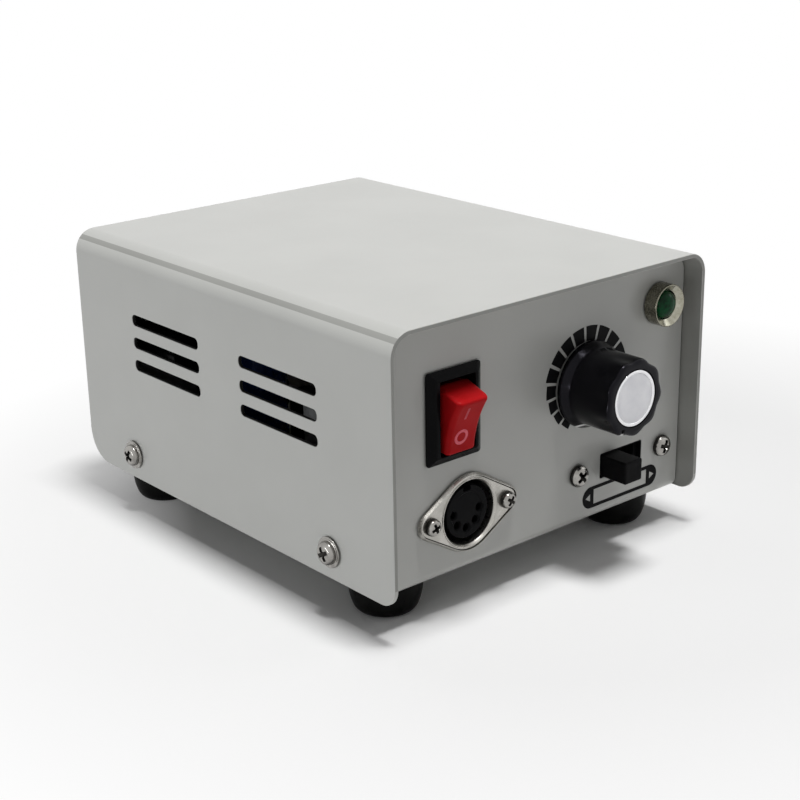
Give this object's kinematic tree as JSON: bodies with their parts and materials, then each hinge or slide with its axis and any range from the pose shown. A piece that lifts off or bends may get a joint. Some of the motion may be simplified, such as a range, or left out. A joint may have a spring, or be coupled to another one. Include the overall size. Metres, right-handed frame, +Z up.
{
  "type": "micromotor control box",
  "caption": "Small bent-sheet mains control box for a dental lab handpiece: rocker switch, speed knob with dial, motor socket, pilot lamp, direction slide switch, vents and rubber feet",
  "frame": {"origin": "under the middle of the box, on the plane that the feet stand on", "axes": "+X to the right of someone facing the front panel, +Y to the rear, +Z up"},
  "size_m": [0.1024, 0.1414, 0.0693],
  "materials": {
    "enamel": "light warm grey stoved enamel, semi-gloss",
    "nickel": "bright nickel plate",
    "black_plastic": "moulded, semi-gloss",
    "red_plastic": "moulded, glossy",
    "rubber": "moulded, smooth",
    "brass": "bright",
    "green_lens": "clear tinted lens, glossy",
    "zinc_steel": "zinc plated",
    "silver_cap": "fine satin",
    "fuse_glass": "clear tube with bright end caps",
    "laminations": "varnished silicon steel stack",
    "coil": "yellow tape over the winding",
    "board": "solder mask",
    "nylon": "natural",
    "capacitor_sleeve": "shrink sleeve",
    "heat_sink_metal": "extruded"
  },
  "bodies": {
    "root": {"cover": "enamel", "chassis": "enamel", "cover_screw_left_front": "nickel", "cover_screw_left_rear": "nickel", "cover_screw_right_front": "nickel", "cover_screw_right_rear": "nickel", "foot_left_front": "rubber", "foot_left_rear": "rubber", "foot_right_front": "rubber", "foot_right_rear": "rubber", "foot_screw_left_front": "nickel", "foot_screw_left_rear": "nickel", "foot_screw_right_front": "nickel", "foot_screw_right_rear": "nickel", "rocker_housing": "black_plastic", "rocker_terminal_line": "brass", "rocker_terminal_load": "brass", "socket_flange": "nickel", "socket_insert": "black_plastic", "socket_screw_left": "nickel", "socket_screw_right": "nickel", "lamp_bezel": "nickel", "lamp_lens": "green_lens", "lamp_nut": "nickel", "potentiometer": "zinc_steel", "pot_nut": "nickel", "slide_frame": "zinc_steel", "slide_contact_base": "black_plastic", "slide_screw_left": "nickel", "slide_screw_right": "nickel", "fuse_holder_body": "black_plastic", "fuse_holder_nut": "black_plastic", "mains_grommet": "rubber", "pedal_jack": "black_plastic", "pedal_jack_nut": "nickel", "transformer_core": "laminations", "transformer_winding": "coil", "transformer_strap": "zinc_steel", "transformer_screw_left": "nickel", "transformer_screw_right": "nickel", "circuit_board": "board", "board_support_left_front": "nylon", "board_support_left_rear": "nylon", "board_support_right_front": "nylon", "board_support_right_rear": "nylon", "main_capacitor": "capacitor_sleeve", "heat_sink": "heat_sink_metal", "power_transistor": "black_plastic", "bridge_rectifier": "black_plastic"},
    "rocker": {"power_rocker": "red_plastic"},
    "knob": {"speed_knob": "black_plastic", "knob_cap": "silver_cap", "pot_shaft": "nickel"},
    "slider": {"direction_slider": "black_plastic"},
    "fuse_carrier": {"fuse_link": "fuse_glass"},
    "fuse_cap": {"fuse_cap": "black_plastic"}
  },
  "joints": [
    {"name": "rocker_tilt", "type": "hinge", "parent": "root", "child": "rocker", "pos_m": [-0.0273, -0.0537, 0.0463], "axis": [-1, 0, 0], "range_deg": [0, 32]},
    {"name": "knob_turn", "type": "hinge", "parent": "root", "child": "knob", "pos_m": [0.0143, -0.0562, 0.0433], "axis": [0, 1, 0], "range_deg": [0, 278]},
    {"name": "direction_slide", "type": "slide", "parent": "root", "child": "slider", "axis": [1, 0, 0], "range_m": [0, 0.0064]},
    {"name": "fuse_pull", "type": "slide", "parent": "root", "child": "fuse_carrier", "axis": [0, 1, 0], "range_m": [0, 0.03]},
    {"name": "fuse_cap_turn", "type": "hinge", "parent": "fuse_carrier", "child": "fuse_cap", "pos_m": [-0.0375, 0.0562, 0.0426], "axis": [0, 1, 0], "range_deg": [-90, 0]}
  ]
}
